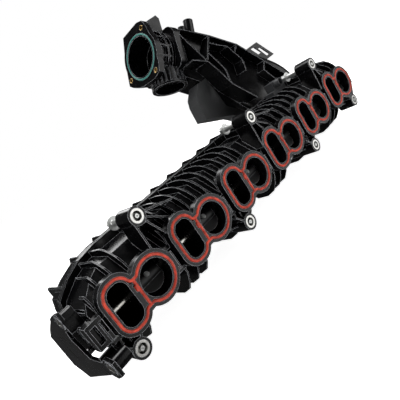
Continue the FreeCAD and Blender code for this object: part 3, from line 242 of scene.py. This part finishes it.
def silicone_material():
    """Moulded silicone: orange red, a soft waxy gloss, faintly see-through, with dust held in patches."""
    material, tree, output = new_material("silicone_rubber_moulded")
    place = add_node(tree, "ShaderNodeTexCoord")
    patch = add_node(tree, "ShaderNodeTexNoise", {"Scale": 1 / DUST_SIZE, "Detail": 5.0},
                     {"Vector": (place, "Object")})
    colour = add_node(tree, "ShaderNodeValToRGB", links={"Fac": (patch, "Fac")})
    colour.color_ramp.elements[0].position = 0.35
    colour.color_ramp.elements[0].color = linear("8a2212")
    colour.color_ramp.elements[1].position = 0.68
    colour.color_ramp.elements[1].color = linear("c4412b")
    gloss = add_node(tree, "ShaderNodeMapRange", {"To Min": 0.3, "To Max": 0.5}, {"Value": (patch, "Fac")})
    grain = add_node(tree, "ShaderNodeTexNoise", {"Scale": 1 / SILICONE_GRAIN, "Detail": 2.0},
                     {"Vector": (place, "Object")})
    bump = add_node(tree, "ShaderNodeBump", {"Strength": 0.15, "Distance": 0.0001},
                    {"Height": (grain, "Fac")})
    shader = add_node(tree, "ShaderNodeBsdfPrincipled",
                      {"IOR": 1.41, "Subsurface Weight": 0.15, "Subsurface Radius": (0.004, 0.001, 0.0006)},
                      {"Base Color": (colour, "Color"), "Roughness": (gloss, "Result"),
                       "Normal": (bump, "Normal")})
    tree.links.new(shader.outputs["BSDF"], output.inputs["Surface"])
    return material


silicone = silicone_material()
crest = [(math.cos(math.radians(a)) * BEAD / 2, -math.sin(math.radians(a)) * CREST)
         for a in range(0, 181, 20)]
foot = [(side * BEAD / 2 * FOOT_SHARE, BEAD_DEEP - BEAD_PROUD) for side in (-1, 1)]
bead_profile = crest + foot
tab_profile = [(side * TAB_SHARE, y) for side, y in bead_profile]
ring = bead_path()
for k in range(PORT_PAIRS):
    divider = PITCH * (k - (PORT_PAIRS - 1) / 2)
    bead = bmesh.new()
    sweep(bead, [(divider + x, z) for x, z in ring], bead_profile, True)
    strip_low, strip_top = (ROUND_PORT[1] + side * (WAIST + GAP) for side in (-1, 1))
    sweep(bead, [(divider, strip_low), (divider, strip_top)], bead_profile, False)
    sweep(bead, [(divider + TAB_X, TAB_FROM), (divider + TAB_X, TAB_TO)], tab_profile, False)
    piece_from("port_gasket_bead_%d" % (k + 1), bead, silicone, "manifold",
               ["port_gasket_%d" % (k + 1)])

# Bolts, their sleeves and retainers. Seven captive steel bolts clamp the flange to the head, each through a
# turned steel sleeve that carries the load past the nylon. The heads are flanged and zinc-flake coated.


def metal(name, colour, dull, roughness, grain_mm, metallic=1.0, edge_mm=0.3):
    """A metal whose tone and gloss vary in small patches, with its sharp edges just broken."""
    material, tree, output = new_material(name)
    place = add_node(tree, "ShaderNodeTexCoord")
    patch = add_node(tree, "ShaderNodeTexNoise", {"Scale": 1000 / grain_mm, "Detail": 6.0},
                     {"Vector": (place, "Object")})
    tone = add_node(tree, "ShaderNodeMix", {"data_type": "RGBA", 6: linear(colour), 7: linear(dull)},
                    {0: (patch, "Fac")})
    gloss = add_node(tree, "ShaderNodeMapRange",
                     {"From Min": 0.3, "From Max": 0.7,
                      "To Min": roughness - 0.07, "To Max": roughness + 0.1},
                     {"Value": (patch, "Fac")})
    round_edge = add_node(tree, "ShaderNodeBevel", {"samples": 4, "Radius": edge_mm / 1000})
    bump = add_node(tree, "ShaderNodeBump", {"Strength": 0.1, "Distance": grain_mm / 8000},
                    {"Height": (patch, "Fac"), "Normal": (round_edge, "Normal")})
    shader = add_node(tree, "ShaderNodeBsdfPrincipled", {"Metallic": metallic},
                      {"Base Color": (tone, 2), "Roughness": (gloss, "Result"), "Normal": (bump, "Normal")})
    tree.links.new(shader.outputs["BSDF"], output.inputs["Surface"])
    return material


def lathe(mesh, profile, at, axis, count=48, radius_at=None, capped=False):
    """Add to a bmesh what a profile of (along, radius) makes turned round an axis, closed up or capped."""
    along = Vector(axis).normalized()
    side = along.orthogonal().normalized()
    up = along.cross(side)
    rings = []
    for distance, radius in profile:
        ring_verts = []
        for k in range(count):
            a = 2 * math.pi * k / count
            r = radius_at(distance, a, radius) if radius_at else radius
            ring_verts.append(mesh.verts.new(Vector(at) + along * distance
                                             + (side * math.cos(a) + up * math.sin(a)) * r))
        rings.append(ring_verts)
    for first, second in zip(rings, rings[1:] if capped else rings[1:] + rings[:1]):
        for k in range(count):
            mesh.faces.new((first[k - 1], first[k], second[k], second[k - 1]))
    if capped:
        mesh.faces.new(rings[0])
        mesh.faces.new(rings[-1])


# Turned steel is bright, with the lathe's fine marks. Zinc flake is a baked coat, pale grey and duller.
turned_steel = metal("steel_turned", "f0efeb", "c9c8c4", 0.3, 2.0)
zinc_flake = metal("zinc_flake_on_steel", "eeefec", "c2c4c3", 0.38, 0.7, 0.92)
dress(turned_steel, "bolt_sleeves", "actuator_sleeves")
# Its second colour is the highlight painted along its edges.
retainer_plastic = moulded("polyamide_unfilled_moulded", "111113", "3c3d3f", 0.4, 0.5, 0.4, 1.53)
dress(retainer_plastic, "bolt_retainers")
SHANK_R = 0.0035
SHANK_END = 0.046
THREAD_PITCH = 0.00125
THREAD_DEEP = 0.0006
POINT_R = 0.0023
POINT_LONG = 0.0032
THREAD_FROM = 0.004
THREAD_TO = 0.022
FLANGE_R = 0.0076
FLANGE_TOP = 0.0478
HEAD_R = 0.0049
HEAD_FROM = 0.0484
HEAD_TOP = 0.055
HEAD_DISH_R = 0.0031
HEAD_LOBES = 6
LOBE_SHARE = 0.08
CHAMFER = 0.0003
TURN_STEPS = 48


def bolt_radius(distance, turn, radius):
    """A bolt's radius: its helical thread near the tip, the plain shank and flange, and a six-lobed head."""
    if THREAD_FROM < distance < THREAD_TO:
        return radius - THREAD_DEEP * abs(2 * ((distance / THREAD_PITCH + turn / (2 * math.pi)) % 1) - 1)
    if distance > HEAD_FROM:
        return radius * (1 - LOBE_SHARE + LOBE_SHARE * math.cos(HEAD_LOBES * turn))
    return radius


THREAD_ROWS = 5
first_row = int(THREAD_FROM / THREAD_PITCH * THREAD_ROWS) + 1
last_row = int(THREAD_TO / THREAD_PITCH * THREAD_ROWS)
bolt_profile = [(0.0007, 0.0003), (0, 0.0008), (0, POINT_R - 0.0002), (0.0002, POINT_R),
                (POINT_LONG, POINT_R), (THREAD_FROM, SHANK_R - 0.0002)]
bolt_profile += [(k * THREAD_PITCH / THREAD_ROWS, SHANK_R) for k in range(first_row, last_row + 1)]
bolt_profile += [(SHANK_END - 0.0005, SHANK_R), (SHANK_END, SHANK_R + 0.0004),
                 (SHANK_END, FLANGE_R - CHAMFER), (SHANK_END + CHAMFER, FLANGE_R),
                 (SHANK_END + CHAMFER * 2, FLANGE_R), (FLANGE_TOP, FLANGE_R - 0.0014),
                 (FLANGE_TOP + CHAMFER, HEAD_R + CHAMFER), (FLANGE_TOP + 0.0008, HEAD_R),
                 (HEAD_TOP - 0.0007, HEAD_R), (HEAD_TOP, HEAD_R - 0.0007),
                 (HEAD_TOP, HEAD_DISH_R), (HEAD_TOP - 0.0005, HEAD_DISH_R - CHAMFER)]
for name in [n for n in frame["nodes"] if n.startswith(("bolt_upper_", "bolt_lower_"))]:
    low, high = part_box(name)
    tip = ((low.x + high.x) / 2, low.y, (low.z + high.z) / 2)
    bolt = bmesh.new()
    lathe(bolt, bolt_profile, tip, (0, 1, 0), TURN_STEPS, bolt_radius, capped=True)
    piece_from(name + "_threaded", bolt, zinc_flake, name, [name], 30)

# Plenum. The rear shell is a deep tray with a grid of ribs on its back, so that it keeps its shape when the
# engine draws on it. It is the same nylon, and is vibration-welded to the front shell all round its flange.

dress(nylon, "plenum_shell")

# Air duct and throttle neck. The duct is two welded halves with a lattice of ribs in its recessed front, and
# the neck carries the bolting flange, the collar and the gas inlet. All are moulded in the same nylon.

dress(nylon, "throttle_neck", "duct_collar", "duct_rear_shell", "duct_front_shell", "duct_truss",
      "gas_inlet_collar", "cover_posts")

# Throttle seal. A moulded ring of green fluoroelastomer lies in a groove of the throttle flange, held by
# small nibs round its outside, and stands a little proud so that the throttle body squeezes it.

bore = mounts["throttle_bore"]
# Its second colour is the highlight painted along its edges.
fluoroelastomer = moulded("fluoroelastomer_moulded", "2f6d66", "4f8d85", 0.42, 0.8, 0.3, 1.4)
seal = bmesh.new()
bore_axis = Vector(bore["axis"])
BORE_HALF = 0.018
face_centre = Vector(bore["pos_m"]) + bore_axis * BORE_HALF
SEAL_R = 0.032
SEAL_WIRE = 0.0026
NIBS = 18
NIB = 0.0003
wire = [(math.sin(math.radians(a)) * SEAL_WIRE / 2 - SEAL_WIRE * 0.3,
         SEAL_R + math.cos(math.radians(a)) * SEAL_WIRE / 2) for a in range(0, 360, 24)]


def nibbed(distance, turn, radius):
    """The seal's radius, with a nib at even steps on its outer and its inner side."""
    return radius + NIB * max(0.0, math.cos(NIBS * turn)) ** 8 * (1 if radius > SEAL_R else -1)


lathe(seal, wire, face_centre, bore_axis, 120, nibbed)
piece_from("throttle_seal_ring", seal, fluoroelastomer, "manifold", ["throttle_seal"])

# Throttle inserts. Three threaded brass bushes take the throttle body's screws. Each is turned and knurled
# in two bands, and is pressed hot into the flange so that the nylon flows into the knurls.

brass = metal("brass_turned", "d9b878", "a98645", 0.3, 1.0)
INSERT_R = 0.0038
INSERT_BORE_R = 0.0025
INSERT_HALF = 0.00485
KNURLS = 30
KNURL_DEEP = 0.0003
INSERT_PITCH = 0.0008
INSERT_STEP = 0.0002
INSERT_TURN_STEPS = 120


def knurled(distance, turn, radius):
    """An insert's outer radius in its two knurled bands, and the thread of its bore."""
    if radius < INSERT_R - 0.0005:
        return radius + 0.0002 * abs(2 * ((distance / INSERT_PITCH + turn / (2 * math.pi)) % 1) - 1)
    banded = 0.0009 < abs(distance) < INSERT_HALF - 0.0012
    return radius - (KNURL_DEEP / 2 * (1 + math.cos(KNURLS * turn)) if banded else 0)


outside = [(-INSERT_HALF, INSERT_R - 0.0003)]
outside += [(-INSERT_HALF + 0.0003 + k * INSERT_STEP, INSERT_R) for k in range(46)]
outside += [(INSERT_HALF, INSERT_R - 0.0003)]
inside = [(INSERT_HALF - k * INSERT_STEP, INSERT_BORE_R) for k in range(2, 47)]
inside = [(INSERT_HALF, INSERT_BORE_R + 0.0004)] + inside + [(-INSERT_HALF, INSERT_BORE_R + 0.0004)]
inserts = bmesh.new()
for name in ("throttle_screw_1", "throttle_screw_2", "throttle_screw_3"):
    lathe(inserts, outside + inside, mounts[name]["pos_m"], mounts[name]["axis"], INSERT_TURN_STEPS, knurled)
piece_from("throttle_inserts_knurled", inserts, brass, "manifold", ["throttle_inserts"], 30)

# Side chamber, cable tab and pressure sensor. The chamber is a matt moulding welded beside the duct, the tab
# is a slotted frame moulded on for a cable clip, and the sensor is pushed into the front shell and held by
# one screw.

# Its second colour is the highlight painted along its edges.
chamber_nylon = moulded("nylon_6_mineral_filled_moulded", "303132", "4a4b4c", 0.62, 0.9, 0.8, 1.53, 0.3)
dress(chamber_nylon, "side_chamber")
dress(nylon, "cable_tab")
# Its second colour is the highlight painted along its edges.
sensor_plastic = moulded("pbt_glass_filled_moulded", "2a2b2d", "55575a", 0.45, 0.5, 0.4, 1.57)
dress(sensor_plastic, "pressure_sensor")
dress(zinc_flake, "sensor_screw")

# Swirl flaps. A ground steel shaft runs through all six round ports in plain bushes, and a moulded flap is
# screwed to it in each one. A lip seal and a slotted coupling stand at its near end, where the actuator
# turns it.

ground_steel = metal("steel_ground", "d2d0ca", "a19f99", 0.2, 1.5)
# The flap's second colour, a pale grey, is the highlight painted along its edges.
flap_plastic = moulded("polyphenylene_sulfide_moulded", "050506", "9a9c9f", 0.5, 0.5, 0.5, 1.6)
dress(ground_steel, "swirl_shaft")
dress(zinc_flake, "flap_screws")
dress(flap_plastic, *["swirl_flap_%d" % (k + 1) for k in range(PORT_PAIRS)])
dress(retainer_plastic, "shaft_bushes", "shaft_end_cap", "drive_coupling")
# Its second colour is the highlight painted along its edges.
nitrile = moulded("nitrile_rubber_moulded", "0c0c0c", "262626", 0.55, 0.6, 0.3, 1.52)
LIP_BORE_R = 0.0041
low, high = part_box("shaft_seal")
shaft_at = (low + high) / 2
lip = bmesh.new()
outer_r = (high.z - low.z) / 2
long = high.x - low.x
lathe(lip, [(0, outer_r * 0.97), (long * 0.1, outer_r), (long * 0.9, outer_r), (long, outer_r * 0.97),
            (long, LIP_BORE_R + 0.0012), (long * 0.8, LIP_BORE_R + 0.0002), (long * 0.5, LIP_BORE_R + 0.0009),
            (long * 0.2, LIP_BORE_R + 0.0002), (0, LIP_BORE_R + 0.0012)],
      (low.x, shaft_at.y, shaft_at.z), (1, 0, 0))
piece_from("shaft_seal_lip", lip, nitrile, "manifold", ["shaft_seal"])

# Actuator bracket. It is part of the front shell's moulding: a plate that stands off the near end on ribs,
# with two sleeved bosses for the flap actuator and a slotted housing for its clip. It has the front shell's
# finish.

dress(nylon, "actuator_bracket")

# Studio. A pale board runs out to a white surround, as on a product table. One large soft light hangs above,
# with soft fills in front, to the left and behind, and a broad even light from all round.

FLOOR_SIZE = 30.0
FLOOR_DROP = 0.0005
SURROUND_R = 14.0
WORLD_STRENGTH = 0.06
floor_mesh = bmesh.new()
bmesh.ops.create_grid(floor_mesh, x_segments=8, y_segments=8, size=FLOOR_SIZE / 2)
floor_data = bpy.data.meshes.new("floor")
floor_mesh.to_mesh(floor_data)
floor_mesh.free()
floor = bpy.data.objects.new("floor", floor_data)
floor.location.z = cad_box[0][2] - FLOOR_DROP
bpy.context.scene.collection.objects.link(floor)
floor_material, floor_tree, floor_output = new_material("painted_board_white")
floor_place = add_node(floor_tree, "ShaderNodeTexCoord")
floor_grain = add_node(floor_tree, "ShaderNodeTexNoise", {"Scale": 40.0, "Detail": 3.0},
                       {"Vector": (floor_place, "Object")})
floor_tone = add_node(floor_tree, "ShaderNodeMix",
                      {"data_type": "RGBA", 6: linear("f4f4f4"), 7: linear("fbfbfb")},
                      {0: (floor_grain, "Fac")})
floor_shader = add_node(floor_tree, "ShaderNodeBsdfPrincipled",
                        {"Roughness": 0.9, "Emission Color": (1, 1, 1, 1), "Emission Strength": 0.95},
                        {"Base Color": (floor_tone, 2)})
floor_tree.links.new(floor_shader.outputs["BSDF"], floor_output.inputs["Surface"])
floor_data.materials.append(floor_material)
floor.visible_glossy = False

surround_mesh = bmesh.new()
bmesh.ops.create_uvsphere(surround_mesh, u_segments=48, v_segments=24, radius=SURROUND_R)
surround_data = bpy.data.meshes.new("surround")
surround_mesh.to_mesh(surround_data)
surround_mesh.free()
surround = bpy.data.objects.new("surround", surround_data)
bpy.context.scene.collection.objects.link(surround)
surround_material, surround_tree, surround_output = new_material("paper_white")
surround_glow = add_node(surround_tree, "ShaderNodeEmission", {"Strength": 1.0})
surround_tree.links.new(surround_glow.outputs["Emission"], surround_output.inputs["Surface"])
surround_data.materials.append(surround_material)
surround.visible_glossy = False
surround.visible_diffuse = False
surround.visible_shadow = False

world = bpy.data.worlds.new("studio")
world.use_nodes = True
world.node_tree.nodes["Background"].inputs["Color"].default_value = (1, 1, 1, 1)
world.node_tree.nodes["Background"].inputs["Strength"].default_value = WORLD_STRENGTH
bpy.context.scene.world = world

middle = Vector([(a + b) / 2 for a, b in zip(cad_box[0], cad_box[1])])


def softbox(name, offset, size, watts):
    """A square soft light that faces the middle of the manifold."""
    light = bpy.data.lights.new(name, "AREA")
    light.size = size
    light.energy = watts
    lamp = bpy.data.objects.new(name, light)
    lamp.location = middle + Vector(offset)
    lamp.rotation_euler = (-Vector(offset)).to_track_quat("-Z", "Y").to_euler()
    bpy.context.scene.collection.objects.link(lamp)


softbox("light_above", (0.1, 0.2, 1.6), 1.2, 34)
softbox("light_left", (-1.7, -0.3, 0.9), 0.7, 16)
softbox("light_front", (1.1, -1.5, -0.1), 2.0, 19)
softbox("light_behind", (0.6, 1.6, 0.9), 0.9, 10)

# Camera. It looks from beyond the actuator's end and a little above, close enough for strong perspective,
# and is rolled so that the row of ports climbs from the lower left to the upper right.

CAMERA_AT = (-0.35899, -0.314199, 0.118168)
CAMERA_BACK = (-0.590698, -0.771928, 0.234953)
CAMERA_TOP = (0.561753, -0.184393, 0.806495)
LENS = 36.0
SENSOR = 36.0
view = bpy.data.cameras.new("camera")
view.lens = LENS
view.sensor_width = SENSOR
view.clip_start = 0.01
camera = bpy.data.objects.new("camera", view)
bpy.context.scene.collection.objects.link(camera)
back = Vector(CAMERA_BACK)
top = Vector(CAMERA_TOP)
turned = Matrix((top.cross(back).normalized(), top, back)).transposed().to_4x4()
camera.matrix_world = Matrix.Translation(CAMERA_AT) @ turned
bpy.context.scene.camera = camera
bpy.context.scene.view_settings.view_transform = "Standard"
